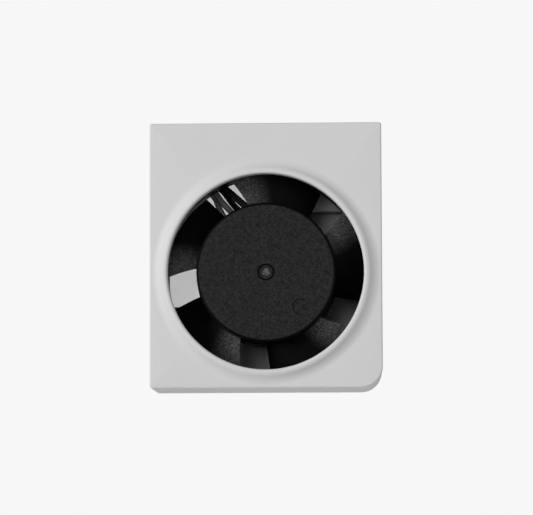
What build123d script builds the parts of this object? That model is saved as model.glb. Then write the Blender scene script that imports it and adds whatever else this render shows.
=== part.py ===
from build123d import *
import os
from math import atan, cos, hypot, radians, sin, sqrt, tan

# Compact box fan: an 80 mm axial fan clamped between two moulded covers.
# Millimetres.  +Z is up, the inlet faces -Y, and the origin is at the middle of the base.
# Angles are counter-clockwise from +X, seen from the front.

# ---- Housing -------------------------------------------------------------------------
side_wall = 2.0
side_gap = 3.0               # inside of the walls to the fan frame, at the sides and below
lead_space = 16.0            # inside of the top wall to the fan frame
chamber_depth = 13.8         # back of the fan frame to the back panel
front_wall = 1.8
rear_wall = 2.2
corner_radius = 8.2          # the one rounded corner, bottom right
edge_radius = 0.8            # the other corners
front_edge_radius = 0.6
rear_edge_radius = 1.0
seam_behind_fan = 2.0        # seam between the covers, behind the back of the fan frame
seam_gap = 0.3
tongue_depth = 2.0
tongue_thickness = 0.9
tongue_clearance = 0.1

# ---- Inlet ring ----------------------------------------------------------------------
ring_height = 2.2            # the crest stands this far proud of the front plate
mouth_step = 0.8             # the mouth stands in over the fan's duct
ring_width = 6.4             # from the mouth to where the dome runs out into the plate
lip_rounding = 0.9
crest_rounding = 2.5

# ---- Fan frame -----------------------------------------------------------------------
fan_size = 80.0
fan_depth = 25.0
duct_margin = 1.2            # duct to the sides of the frame
hole_margin = 4.25           # fixing holes to the sides of the frame
fan_hole_radius = 2.2
fan_corner_radius = 3.0
flange_thickness = 4.5
shroud_wall = 1.0
tip_clearance = 0.6          # blade tips to the duct
flare_depth = 5.5
flare_reach = 1.4            # the flare's rim stands out past the sides, which cut it off
flare_wall = 0.9
base_radius = 27.8           # motor base
base_floor = 2.0
base_rim = 1.5
base_depth = 5.5
strut_offset = 15.65         # distance of a strut's line from the fan axis
strut_width = 2.6
strut_reach = 3.5            # struts run on this far past the sides, into the corners
strut_depth = 3.5
strut_direction = 139.0      # direction of the strut that carries the leads
strut_steps = [0, 110, 180, 250]
board_boss_radius = 1.5
board_boss_inset = 3.0       # bosses to the edge of the board
label_radius = 17.0
label_thickness = 0.2
label_clearance = 0.3

# ---- Impeller ------------------------------------------------------------------------
blade_count = 5
hub_radius = 27.1
hub_recess = 0.7             # hub face behind the front of the frame
hub_length = 18.3
hub_wall = 1.5
hub_face = 1.8
hub_rounding = 0.8
blade_leading_depth = 2.5    # leading edge behind the hub face
blade_trailing_depth = 13.3
blade_leading_angles = (104.0, 109.1)     # root, tip
blade_trailing_angles = (53.3, 56.2)
blade_camber = 0.45          # share of the pitch that is already there at the leading edge
blade_thickness = 1.3
blade_edge_thickness = 0.6
blade_thickest = 0.4         # share of the chord from the leading edge
blade_sections = 7
gate_mark_radius = 3.2
gate_mark_width = 0.35
gate_spot_radius = 1.4
mark_depth = 0.25
ejector_mark_radius = 3.0
ejector_mark_place = (13.4, -13.6)
ejector_mark_depth = 0.12

# ---- Shaft and bearings --------------------------------------------------------------
shaft_radius = 1.5
shaft_boss_radius = 4.0
shaft_boss_length = 2.0
shaft_clearance = 1.0        # shaft ends short of the hub's face and of the label
bearing_radius = 4.0
bearing_width = 4.0
race_wall = 0.72
ball_count = 7
ball_radius = 0.75
ball_clearance = 0.03
cage_thickness = 0.5
cage_width = 2.2
spring_wire = 0.2
spring_turns = 3
spring_length = 2.2
tube_wall = 1.0
tube_shoulder = 0.6
clip_radius = 2.7
clip_thickness = 0.4
clip_mouth = 1.9
groove_depth = 0.3
collar_wall = 2.0

# ---- Rotor and stator ----------------------------------------------------------------
yoke_wall = 0.8
magnet_wall = 3.2
magnet_length = 12.0
magnet_from_open_end = 2.0
air_gap = 0.7
core_length = 7.0
pole_count = 4
pole_gap_angle = 12.0
pole_shoe_depth = 2.4
arm_width = 5.0
core_ring_radius = 8.6
insulator_wall = 0.7
insulator_end = 1.2
insulator_flange = 1.0
coil_build = 2.0
coil_clearance = 0.05

# ---- Board ---------------------------------------------------------------------------
board_rim_gap = 2.6          # edge of the board to the inside of the hub
board_thickness = 1.0
board_above_floor = 2.1
board_bore_clearance = 0.3
chip_size = (5.0, 1.5, 4.0)
chip_angle = 230.0
sensor_size = (3.0, 1.4, 3.0)
sensor_angle = 45.0
capacitor_radius = 2.0
capacitor_length = 1.7
capacitor_angles = [300, 340]
component_inset = 7.0        # middle of the chip and capacitors to the edge of the board

# ---- Leads ---------------------------------------------------------------------------
# Two grey leads and two thinner black ones. Each list runs from the outermost route inwards.
lead_grey_radius = 0.9
lead_black_radius = 0.65
lead_grey_offsets = (8.3, 10.2)           # lines of the leads, measured as strut_offset is
lead_black_offsets = (11.85, 13.25)
lead_grey_corners = (56.0, 53.6)          # where each lead leaves its line, past the edge of the frame
lead_black_corners = (51.5, 49.8)
lead_grey_roof_gaps = (1.6, 3.7)          # crown of each route to the inside of the top wall
lead_black_roof_gaps = (5.7, 7.3)
lead_inset = 4.5             # where the leads start, from the edge of the board
lead_rise = 5.0              # sideways reach of the two bends over the frame's edge
lead_crown = 15.0
lead_fall = 8.0              # sideways reach of the last bend, before the pin
lead_dip = 4.0               # depth of the last bend below the crown
lead_stand_off = 3.0         # how far the leads come forward before they turn back to the pins
lead_slot_clearance = 0.3

# ---- Screws, posts and inserts -------------------------------------------------------
column_radius = 4.2
post_length = 12.0
post_clearance = 0.1
screw_radius = 1.25
screw_hole_clearance = 0.35
screw_engagement = 9.4       # length of screw in a post
screw_head_radius = 2.8
screw_head_height = 2.0
screw_recess_depth = 3.4
screw_recess_clearance = 0.3
slot_width = 0.8
slot_length = 3.6
slot_depth = 0.9
insert_spacing = 48.0
insert_height = 18.0
insert_radius = 2.3
insert_length = 6.0
insert_bore = 1.25
insert_boss_radius = 4.0
insert_boss_depth = 8.0

# ---- Outlet window -------------------------------------------------------------------
window_margin = 2.0          # window to the inside of the side wall
window_right = -5.0
window_below_axis = 12.0
window_to_top = 10.0         # window to the top of the body
window_column_gap = 2.4      # window to the screw column beside it
window_rounding = 1.5
screen_overlap = 1.5
screen_thickness = 0.4
screen_pitch = 3.0
screen_bar = 0.5
bezel_width = 2.8
bezel_thickness = 1.4

# ---- Socket --------------------------------------------------------------------------
pocket_left = 4.8
pocket_column_gap = 2.85     # pocket to the screw column beside it
pocket_height = 24.0
pocket_to_top = 5.5
pocket_depth = 9.0
pocket_wall = 1.8
pocket_rounding = 1.5
socket_to_top = 15.85        # middle of the socket to the top of the body
socket_width = 13.5
socket_height = 6.6
socket_length = 7.0
socket_wall = 0.9
socket_floor = 2.5
pin_count = 4
pin_pitch = 2.54
pin_size = 0.64
pin_tail = 3.4
pin_length = 5.0

# ---- The body, worked out from the fan that it holds ---------------------------------
fan_height = side_wall + side_gap + fan_size / 2
hole_spacing = fan_size - 2 * hole_margin
duct_radius = fan_size / 2 - duct_margin
tip_radius = duct_radius - tip_clearance
flare_radius = fan_size / 2 + flare_reach
ring_radius = duct_radius - mouth_step
body_width = fan_size + 2 * (side_gap + side_wall)
body_height = fan_height + fan_size / 2 + lead_space + side_wall
body_depth = ring_height + front_wall + fan_depth + chamber_depth + rear_wall
ring_foot_radius = ring_radius + ring_width

# ---- Places along the depth ----------------------------------------------------------
ring_crest = -body_depth / 2
plate_front = ring_crest + ring_height
fan_front = plate_front + front_wall
fan_rear = fan_front + fan_depth
seam = fan_rear + seam_behind_fan
body_rear = body_depth / 2
panel_inside = body_rear - rear_wall

hub_front = fan_front + hub_recess
hub_rear = hub_front + hub_length
hub_inside = hub_front + hub_face
boss_end = hub_inside + shaft_boss_length
front_bearing = boss_end + spring_length
base_inside = fan_rear - base_floor
rear_bearing = base_inside - bearing_width
board_rear = base_inside - board_above_floor
board_front = board_rear - board_thickness

hub_inner_radius = hub_radius - hub_wall
yoke_inner_radius = hub_inner_radius - yoke_wall
magnet_inner_radius = yoke_inner_radius - magnet_wall
core_radius = magnet_inner_radius - air_gap
tube_radius = bearing_radius + tube_wall
collar_radius = tube_radius + collar_wall
ball_circle = (bearing_radius + shaft_radius) / 2
board_radius = hub_inner_radius - board_rim_gap
board_boss_circle = board_radius - board_boss_inset
component_circle = board_radius - component_inset
lead_start = board_radius - lead_inset
yoke_rear = hub_rear - magnet_from_open_end
magnet_front = yoke_rear - magnet_length
core_middle = (magnet_front + yoke_rear) / 2
core_front = core_middle - core_length / 2
core_rear = core_middle + core_length / 2

column_places = [(sx * hole_spacing / 2, fan_height + sz * hole_spacing / 2)
                 for sx in (-1, 1) for sz in (-1, 1)]
pocket_right = hole_spacing / 2 - column_radius - pocket_column_gap
pocket_top = body_height - pocket_to_top
pocket_bottom = pocket_top - pocket_height
pocket_middle_x = (pocket_left + pocket_right) / 2
socket_middle_z = body_height - socket_to_top
window_bottom = fan_height - window_below_axis
window_top = body_height - window_to_top
screw_seat = body_rear - screw_recess_depth
screw_tip = fan_front + post_length - screw_engagement
pocket_floor = body_rear - pocket_depth

fan_axis = Axis((0, 0, fan_height), (0, 1, 0))
turning_axis = Axis((0, 0, fan_height), (0, -1, 0))


# ---- Shapes used throughout ----------------------------------------------------------
def block(x0, x1, y0, y1, z0, z1):
    """A box between two corners."""
    return Pos((x0 + x1) / 2, (y0 + y1) / 2, (z0 + z1) / 2) * Box(x1 - x0, y1 - y0, z1 - z0)


def rod(radius, y0, y1, x=0.0, z=fan_height):
    """A cylinder along the depth of the body."""
    return Pos(x, (y0 + y1) / 2, z) * Rot(90, 0, 0) * Cylinder(radius, y1 - y0)


def tube(outer, inner, y0, y1, x=0.0, z=fan_height):
    """A round tube along the depth of the body."""
    return rod(outer, y0, y1, x, z) - rod(inner, y0 - 1, y1 + 1, x, z)


def turn(shape, angle):
    """A shape turned about the fan axis, counter-clockwise from the front."""
    return shape.rotate(turning_axis, angle)


def lathe(profile):
    """A profile of radius and depth, turned into a solid about the fan axis."""
    return revolve(Pos(0, 0, fan_height) * profile, fan_axis)


def polar(radius, angle):
    """X and Z of a point at a radius and an angle about the fan axis."""
    return radius * cos(radians(angle)), fan_height + radius * sin(radians(angle))


def body_prism(y0, y1, inset):
    """The outline of the housing, drawn in by inset: square but for its bottom right corner."""
    solid = block(inset - body_width / 2, body_width / 2 - inset, y0, y1, inset, body_height - inset)
    corners = solid.edges().filter_by(Axis.Y)
    round_corner = corners.sort_by(Axis.Z)[:2].sort_by(Axis.X)[-1]
    square_corners = [edge for edge in corners if edge.center() != round_corner.center()]
    if edge_radius > inset:
        solid = fillet(square_corners, edge_radius - inset)
        corners = solid.edges().filter_by(Axis.Y).sort_by(Axis.X)
        round_corner = [edge for edge in corners
                        if edge.center().X > body_width / 2 - inset - 0.01
                        and edge.center().Z < inset + 0.01][0]
    return fillet(round_corner, corner_radius - inset)


def strut_block(offset, width, t0, t1, y0, y1):
    """A bar along a strut's direction, at a distance from the fan axis."""
    bar = block(t0, t1, y0, y1, fan_height - offset - width / 2, fan_height - offset + width / 2)
    return turn(bar, strut_direction)


def strut_point(offset, t):
    """X and Z of the point t along the line at offset from the fan axis."""
    a = radians(strut_direction)
    return offset * sin(a) + t * cos(a), fan_height - offset * cos(a) + t * sin(a)


# ---- Housing -------------------------------------------------------------------------
def inlet_ring():
    """The dome round the inlet: a rounded lip, a crest and a slope that runs out into the plate."""
    crest_x = ring_radius + lip_rounding
    run = ring_foot_radius - crest_x
    slope = 2 * atan(ring_height / run)
    crest = (crest_x, ring_crest)
    middle = (crest_x + crest_rounding * sin(slope), ring_crest + crest_rounding * (1 - cos(slope)))
    foot = (ring_foot_radius, plate_front)
    inner_low = (ring_radius, fan_front)
    inner_high = (ring_radius, ring_crest + lip_rounding)
    wall = Line(inner_low, inner_high)
    lip = TangentArc(inner_high, crest, tangent=(0, -1))
    dome = TangentArc(crest, middle, tangent=(1, 0))
    skirt = TangentArc(middle, foot, tangent=dome % 1)
    back = Polyline(foot, (ring_foot_radius, fan_front), inner_low)
    return lathe(make_face(Curve() + [wall, lip, dome, skirt, back]))


def front_cover():
    """The front shell: plate, inlet ring, four walls and the posts that centre the fan."""
    shell = body_prism(plate_front, seam - seam_gap / 2, 0)
    shell = fillet(shell.faces().sort_by(Axis.Y)[0].edges(), front_edge_radius)
    shell -= body_prism(fan_front, seam, side_wall)
    rebate = side_wall - tongue_thickness - tongue_clearance
    shell -= body_prism(seam - tongue_depth - tongue_clearance, seam, rebate)
    shell -= rod(ring_radius + lip_rounding, plate_front - 1, fan_front + 1)
    shell += inlet_ring()
    for x, z in column_places:
        shell += rod(fan_hole_radius - post_clearance, fan_front, fan_front + post_length, x, z)
        shell -= rod(screw_radius, fan_front + front_wall, fan_front + post_length + 1, x, z)
    return shell


def window(y0, y1, grow):
    """The outlet window, an L round the upper left screw column, drawn out by grow."""
    column_x = column_places[1][0]
    column_z = column_places[1][1]
    left = side_wall + window_margin - body_width / 2
    low_top = column_z - column_radius - window_column_gap
    high_left = column_x + column_radius + window_column_gap
    low = block(left - grow, window_right + grow, y0, y1, window_bottom - grow, low_top + grow)
    high = block(high_left - grow, window_right + grow, y0, y1, window_bottom - grow, window_top + grow)
    outline = low + high
    return fillet(outline.edges().filter_by(Axis.Y), window_rounding)


def pocket(grow, y0, y1):
    """The recess for the socket, drawn out by grow."""
    hollow = block(pocket_left - grow, pocket_right + grow, y0, y1, pocket_bottom - grow, pocket_top + grow)
    return fillet(hollow.edges().filter_by(Axis.Y), pocket_rounding)


def rear_cover():
    """The rear shell: back panel, screw columns, socket pocket and outlet window."""
    shell = body_prism(seam + seam_gap / 2, body_rear, 0)
    shell = fillet(shell.faces().sort_by(Axis.Y)[-1].edges(), rear_edge_radius)
    shell -= body_prism(seam, panel_inside, side_wall)
    tongue = body_prism(seam - tongue_depth, seam + seam_gap, side_wall - tongue_thickness)
    tongue -= body_prism(seam - tongue_depth - 1, seam + seam_gap + 1, side_wall)
    shell += tongue
    shell += pocket(pocket_wall, pocket_floor - pocket_wall, panel_inside)
    for x, z in column_places:
        shell += rod(column_radius, fan_rear, panel_inside, x, z)
    for side in (-1, 1):
        x = side * insert_spacing / 2
        shell += rod(insert_boss_radius, body_rear - insert_boss_depth, panel_inside, x, insert_height)
    for side in (-1, 1):
        x = side * insert_spacing / 2
        shell -= rod(insert_radius, body_rear - insert_length, body_rear + 1, x, insert_height)
    for x, z in column_places:
        recess_radius = screw_head_radius + screw_recess_clearance
        shell -= rod(recess_radius, body_rear - screw_recess_depth, body_rear + 1, x, z)
        shell -= rod(screw_radius + screw_hole_clearance, fan_rear - 1, body_rear, x, z)
    shell -= pocket(0, pocket_floor, body_rear + 1)
    for x in pin_places():
        hole = (pin_size + coil_clearance) / 2
        shell -= block(x - hole, x + hole, pocket_floor - pocket_wall - 1, pocket_floor + 1,
                       socket_middle_z - hole, socket_middle_z + hole)
    return shell - window(panel_inside - 1, body_rear + 1, 0)


def outlet_screen():
    """The screen over the outlet, lying on the inside of the back panel."""
    sheet = window(panel_inside - screen_thickness, panel_inside, screen_overlap)
    opening = window(panel_inside - 1, panel_inside + 1, 0)
    box = opening.bounding_box()
    hole = Box(screen_pitch - screen_bar, 3 * screen_thickness, screen_pitch - screen_bar)
    columns = int(box.size.X / screen_pitch) + 1
    rows = int(box.size.Z / screen_pitch) + 1
    grid = []
    for column in range(columns):
        for row in range(rows):
            x = box.min.X + (column + 0.5) * screen_pitch
            z = box.min.Z + (row + 0.5) * screen_pitch
            grid.append(Pos(x, panel_inside - screen_thickness / 2, z) * hole)
    return sheet - (Compound(children=grid) & opening)


def screen_bezel():
    """The frame that holds the screen against the back panel."""
    y1 = panel_inside - screen_thickness
    y0 = y1 - bezel_thickness
    return window(y0, y1, screen_overlap) - window(y0 - 1, y1 + 1, screen_overlap - bezel_width)


def cover_screws():
    """Four pan-head thread-forming screws, through the rear cover and the fan into the front posts."""
    screws = []
    for x, z in column_places:
        head = rod(screw_head_radius, screw_seat, screw_seat + screw_head_height, x, z)
        head = fillet(head.edges().sort_by(Axis.Y)[-1], screw_head_height / 3)
        for wide, high in ((slot_length / 2, slot_width / 2), (slot_width / 2, slot_length / 2)):
            head -= block(x - wide, x + wide, screw_seat + screw_head_height - slot_depth,
                          screw_seat + screw_head_height + 1, z - high, z + high)
        screws.append(head + rod(screw_radius, screw_tip, screw_seat, x, z))
    return Compound(children=screws)


def mounting_inserts():
    """Two brass threaded inserts in the back panel."""
    inserts = []
    for side in (-1, 1):
        x = side * insert_spacing / 2
        body = tube(insert_radius, insert_bore, body_rear - insert_length, body_rear, x, insert_height)
        inserts.append(body)
    return Compound(children=inserts)


# ---- Fan frame -----------------------------------------------------------------------
def lead_lines():
    """Offset, radius and end of the straight part of each lead."""
    offsets = lead_grey_offsets + lead_black_offsets
    radii = [lead_grey_radius] * len(lead_grey_offsets) + [lead_black_radius] * len(lead_black_offsets)
    return zip(offsets, radii, lead_grey_corners + lead_black_corners)


def square_plate(size, y0, y1, rounding):
    """A square plate centred on the fan axis, with rounded corners."""
    plate = block(-size / 2, size / 2, y0, y1, fan_height - size / 2, fan_height + size / 2)
    return fillet(plate.edges().filter_by(Axis.Y), rounding)


def outlet_flare():
    """The space of the flared outlet: a cone that the square of the frame cuts off."""
    reach = 1.0
    widening = (flare_radius - duct_radius) / flare_depth
    profile = Polyline((0, fan_rear - flare_depth), (duct_radius, fan_rear - flare_depth),
                       (flare_radius + widening * reach, fan_rear + reach), (0, fan_rear + reach), close=True)
    half = fan_size / 2 - flare_wall
    square = block(-half, half, fan_rear - flare_depth, fan_rear + reach,
                   fan_height - half, fan_height + half)
    return lathe(make_face(profile)) & square


def fan_frame():
    """The moulded frame: duct, corner flanges, four struts and the motor base."""
    frame = square_plate(fan_size, fan_front, fan_front + flange_thickness, fan_corner_radius)
    frame += square_plate(fan_size, fan_rear - flange_thickness, fan_rear, fan_corner_radius)
    frame += rod(duct_radius + shroud_wall, fan_front, fan_rear)
    frame -= rod(duct_radius, fan_front - 1, fan_rear + 1)
    frame -= outlet_flare()
    reach_in = sqrt((base_radius - base_rim / 2) ** 2 - strut_offset ** 2)
    reach_out = sqrt((fan_size / 2 + strut_reach) ** 2 - strut_offset ** 2)
    limits = square_plate(fan_size, fan_rear - base_depth, fan_rear, fan_corner_radius)
    for step in strut_steps:
        bar = strut_block(strut_offset, strut_width, reach_in, reach_out, fan_rear - strut_depth, fan_rear)
        frame += turn(bar, step) & limits
    frame += rod(base_radius, fan_rear - base_depth, fan_rear)
    frame -= rod(base_radius - base_rim, fan_rear - base_depth - 1, base_inside)
    frame += rod(collar_radius, core_rear + insulator_end, base_inside)
    for k in range(4):
        x, z = polar(board_boss_circle, 45 + 90 * k)
        frame += rod(board_boss_radius, board_rear, base_inside, x, z)
    frame -= rod(tube_radius, core_rear - 1, base_inside)
    frame -= rod(bearing_radius, base_inside - 1, fan_rear + 1)
    frame -= rod(label_radius + label_clearance, fan_rear - label_thickness, fan_rear + 1)
    for x, z in column_places:
        frame -= rod(fan_hole_radius, fan_front - 1, fan_rear + 1, x, z)
    for offset, radius, far in lead_lines():
        gap = 2 * (radius + lead_slot_clearance)
        inner = sqrt((base_radius - 2 * base_rim) ** 2 - offset ** 2)
        outer = sqrt((base_radius + base_rim) ** 2 - offset ** 2)
        frame -= strut_block(offset, gap, inner, outer, fan_rear - base_depth - 1, base_inside)
        duct = sqrt((duct_radius - 1) ** 2 - offset ** 2)
        frame -= strut_block(offset, gap, duct, far, board_rear - lead_slot_clearance, fan_rear + 1)
    return frame


def motor_label():
    """The plain round label that closes the bearing bore at the back."""
    return rod(label_radius, fan_rear - label_thickness, fan_rear)


# ---- Impeller ------------------------------------------------------------------------
def blade():
    """One cambered blade, lofted through upright sections from its trailing to its leading edge."""
    sections = []
    for i in range(blade_sections):
        u = i / (blade_sections - 1)         # 0 at the leading edge, 1 at the trailing edge
        root_angle = blade_leading_angles[0] + u * (blade_trailing_angles[0] - blade_leading_angles[0])
        tip_angle = blade_leading_angles[1] + u * (blade_trailing_angles[1] - blade_leading_angles[1])
        pitch = blade_camber * u + (1 - blade_camber) * u * u
        depth = hub_front + blade_leading_depth + pitch * (blade_trailing_depth - blade_leading_depth)
        fullness = 1 - ((u - blade_thickest) / (1 - blade_thickest)) ** 2
        thickness = blade_edge_thickness + (blade_thickness - blade_edge_thickness) * max(fullness, 0)
        root_x, root_z = polar(hub_radius, root_angle)
        tip_x, tip_z = polar(tip_radius, tip_angle)
        outward = Vector(tip_x - root_x, 0, tip_z - root_z).normalized()
        span = hypot(tip_x - root_x, tip_z - root_z)
        start = Vector(root_x, depth, root_z) - outward * hub_wall
        plane = Plane(origin=start, x_dir=outward, z_dir=outward.cross(Vector(0, 1, 0)))
        length = span + hub_wall + 2 * tip_clearance
        sections.append(plane * Pos(length / 2, thickness / 2) * Rectangle(length, thickness))
    return loft(sections)


def impeller():
    """The hub and its blades, one moulding on the shaft boss."""
    hub = rod(hub_radius, hub_front, hub_rear)
    hub = fillet(hub.edges().sort_by(Axis.Y)[0], hub_rounding)
    first = blade() & rod(tip_radius, hub_front, hub_rear)
    for k in range(blade_count):
        hub += turn(first, 360 / blade_count * k)
    hub -= rod(hub_inner_radius, hub_inside, hub_rear + 1)
    hub += rod(shaft_boss_radius, hub_inside, boss_end)
    hub -= rod(shaft_radius, hub_front + shaft_clearance, boss_end + 1)
    hub -= tube(gate_mark_radius, gate_mark_radius - gate_mark_width, hub_front - 1, hub_front + mark_depth)
    hub -= rod(gate_spot_radius, hub_front - 1, hub_front + mark_depth)
    mark_x, mark_z = ejector_mark_place
    hub -= rod(ejector_mark_radius, hub_front - 1, hub_front + ejector_mark_depth,
               mark_x, fan_height + mark_z)
    return hub


def rotor_yoke():
    """The pressed steel cup that closes the magnet's flux, inside the hub."""
    cup = rod(hub_inner_radius, hub_inside, yoke_rear)
    cup -= rod(yoke_inner_radius, hub_inside + yoke_wall, yoke_rear + 1)
    return cup - rod(shaft_boss_radius, hub_inside - 1, yoke_rear)


def ring_magnet():
    """The ferrite ring magnet inside the yoke."""
    return tube(yoke_inner_radius, magnet_inner_radius, magnet_front, yoke_rear)


# ---- Shaft and bearings --------------------------------------------------------------
def shaft():
    """The ground steel shaft, with a groove for its clip."""
    pin = rod(shaft_radius, hub_front + shaft_clearance, fan_rear - shaft_clearance)
    groove = tube(shaft_radius + 1, shaft_radius - groove_depth, base_inside, base_inside + clip_thickness)
    return pin - groove


def ball_track(radius, middle):
    """The round groove in which a bearing's balls run."""
    circle = Pos(ball_circle, middle) * Circle(radius)
    return lathe(circle)



def outer_race(front):
    """A bearing's outer race, still in the tube."""
    ring = tube(bearing_radius, bearing_radius - race_wall, front, front + bearing_width)
    return ring - ball_track(ball_radius + ball_clearance, front + bearing_width / 2)


def inner_race(front):
    """A bearing's inner race, turning with the shaft."""
    ring = tube(shaft_radius + race_wall, shaft_radius, front, front + bearing_width)
    return ring - ball_track(ball_radius + ball_clearance, front + bearing_width / 2)


def ball_places(front):
    """The middles of a bearing's balls."""
    for k in range(ball_count):
        x, z = polar(ball_circle, 360 / ball_count * k)
        yield Pos(x, front + bearing_width / 2, z)


def balls(front):
    """A bearing's balls."""
    return Compound(children=[place * Sphere(ball_radius) for place in ball_places(front)])


def cage(front):
    """The crown cage that keeps a bearing's balls apart, open towards the front."""
    middle = front + bearing_width / 2
    ring = tube(ball_circle + cage_thickness / 2, ball_circle - cage_thickness / 2,
                middle - cage_width / 6, middle + cage_width / 2)
    for place in ball_places(front):
        ring -= place * Rot(0, 90, 0) * Sphere(ball_radius + ball_clearance)
    return ring


def bearing_tube():
    """The brass tube that carries both bearings, with a shoulder between them."""
    front = front_bearing - tube_wall
    sleeve = tube(tube_radius, bearing_radius - tube_shoulder, front, base_inside)
    sleeve -= rod(bearing_radius, front - 1, front_bearing + bearing_width)
    return sleeve - rod(bearing_radius, rear_bearing, base_inside + 1)


def preload_spring():
    """The coil spring between the shaft boss and the front bearing's inner race."""
    radius = shaft_radius + race_wall - spring_wire
    height = spring_length - 2 * spring_wire
    path = Helix(pitch=height / spring_turns, height=height, radius=radius)
    section = Plane(origin=path @ 0, z_dir=path % 0) * Circle(spring_wire)
    coil = sweep(section, path=path, is_frenet=True)
    return Pos(0, boss_end + spring_wire, fan_height) * Rot(-90, 0, 0) * coil


def retaining_clip():
    """The snap ring in the shaft's groove, behind the rear bearing."""
    ring = tube(clip_radius, shaft_radius - groove_depth, base_inside, base_inside + clip_thickness)
    return ring - block(0, clip_radius + 1, base_inside - 1, base_inside + 1,
                        fan_height - clip_mouth / 2, fan_height + clip_mouth / 2)


# ---- Stator --------------------------------------------------------------------------
def stator_core():
    """The stack of laminations: a ring on the tube, four arms and four pole shoes."""
    shoes = tube(core_radius, core_radius - pole_shoe_depth, core_front, core_rear)
    gap = core_radius * tan(radians(pole_gap_angle / 2))
    core = rod(core_ring_radius, core_front, core_rear)
    for k in range(pole_count):
        slot = block(0, core_radius + 1, core_front - 1, core_rear + 1, fan_height - gap, fan_height + gap)
        shoes -= turn(slot, 360 / pole_count * (k + 0.5))
        arm = block(0, core_radius - pole_shoe_depth / 2, core_front, core_rear,
                    fan_height - arm_width / 2, fan_height + arm_width / 2)
        core += turn(arm, 360 / pole_count * k)
    return (core + shoes) - rod(tube_radius, core_front - 1, core_rear + 1)


def stator_insulator(y0, y1):
    """A moulded insulator that lines the arms over one half of the stack's depth."""
    outer = core_radius - pole_shoe_depth
    half = arm_width / 2 + insulator_wall
    guard = half + coil_build
    spider = rod(core_ring_radius, y0, y1)
    for k in range(pole_count):
        former = block(0, outer, y0, y1, fan_height - half, fan_height + half)
        former += block(outer - insulator_flange, outer, y0, y1, fan_height - guard, fan_height + guard)
        spider += turn(former, 360 / pole_count * k)
    limit = rod(outer, y0, y1)
    return (spider & limit) - stator_core() - rod(tube_radius, y0 - 1, y1 + 1)


def coil_windings():
    """Four coils of enamelled wire, one round each arm."""
    inner = core_ring_radius + coil_clearance
    outer = core_radius - pole_shoe_depth - insulator_flange - 3 * coil_clearance
    half = arm_width / 2 + insulator_wall + coil_clearance
    front = core_front - insulator_end - coil_clearance
    rear = core_rear + insulator_end + coil_clearance
    coils = []
    for k in range(pole_count):
        coil = block(inner, outer, front - coil_build, rear + coil_build,
                     fan_height - half - coil_build, fan_height + half + coil_build)
        coil = fillet(coil.edges().filter_by(Axis.X), coil_build * 0.8)
        coil -= block(inner - 1, outer + 1, front, rear, fan_height - half, fan_height + half)
        coils.append(turn(coil, 360 / pole_count * k))
    return Compound(children=coils)


# ---- Board ---------------------------------------------------------------------------
def motor_board():
    """The round circuit board in the motor base."""
    bore = collar_radius + board_bore_clearance
    return tube(board_radius, bore, board_front, board_rear)


def on_board(size, angle, circle):
    """A part on the front of the board, at an angle on a circle."""
    wide, deep, tall = size
    piece = block(circle - wide / 2, circle + wide / 2, board_front - deep, board_front,
                  fan_height - tall / 2, fan_height + tall / 2)
    return turn(piece, angle)


def driver_chip():
    """The chip that switches the coils."""
    return on_board(chip_size, chip_angle, component_circle)


def hall_sensor():
    """The sensor that reads the magnet, near the rotor's rim."""
    return on_board(sensor_size, sensor_angle, board_radius - sensor_size[0] / 2)


def smoothing_capacitors():
    """Two low capacitors on the front of the board."""
    cans = []
    for angle in capacitor_angles:
        x, z = polar(component_circle, angle)
        cans.append(rod(capacitor_radius, board_front - capacitor_length, board_front, x, z))
    return Compound(children=cans)


# ---- Leads and socket ----------------------------------------------------------------
def pin_places():
    """X of each socket pin."""
    return [pocket_middle_x + (k - (pin_count - 1) / 2) * pin_pitch for k in range(pin_count)]


def lead(offset, radius, corner, roof_gap, pin_x):
    """A lead from the board, along its strut, over the frame and down to a socket pin."""
    depth = board_rear + radius
    crown = body_height - side_wall - roof_gap - radius
    start_x, start_z = strut_point(offset, lead_start)
    corner_x, corner_z = strut_point(offset, corner)
    tail = pocket_floor - pocket_wall - pin_tail
    points = [(start_x, depth, start_z), (corner_x, depth, corner_z),
              (corner_x + lead_rise, depth, crown - lead_dip / 4),
              (corner_x + lead_rise + lead_crown, depth, crown),
              (pin_x - lead_fall, depth - lead_stand_off / 2, crown - lead_dip),
              (pin_x, depth - lead_stand_off, socket_middle_z),
              (pin_x, tail, socket_middle_z)]
    radii = []
    for before, bend, after in zip(points, points[1:], points[2:]):
        incoming = Vector(*bend) - Vector(*before)
        outgoing = Vector(*after) - Vector(*bend)
        half_turn = radians(incoming.get_angle(outgoing)) / 2
        radii.append(0.45 * min(incoming.length, outgoing.length) / tan(half_turn))
    path = FilletPolyline(*points, radius=radii)
    section = Plane(origin=path @ 0, z_dir=path % 0) * Circle(radius)
    print("lead bends", [round(r, 1) for r in radii], "length", round(path.length, 1))
    return sweep(section, path=path)


def lead_pair(radius, offsets, corners, roof_gaps, pins):
    """Two leads of one colour, side by side."""
    return Compound(children=[lead(offset, radius, corner, roof_gap, pin_x)
                              for offset, corner, roof_gap, pin_x in zip(offsets, corners, roof_gaps, pins)])


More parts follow.
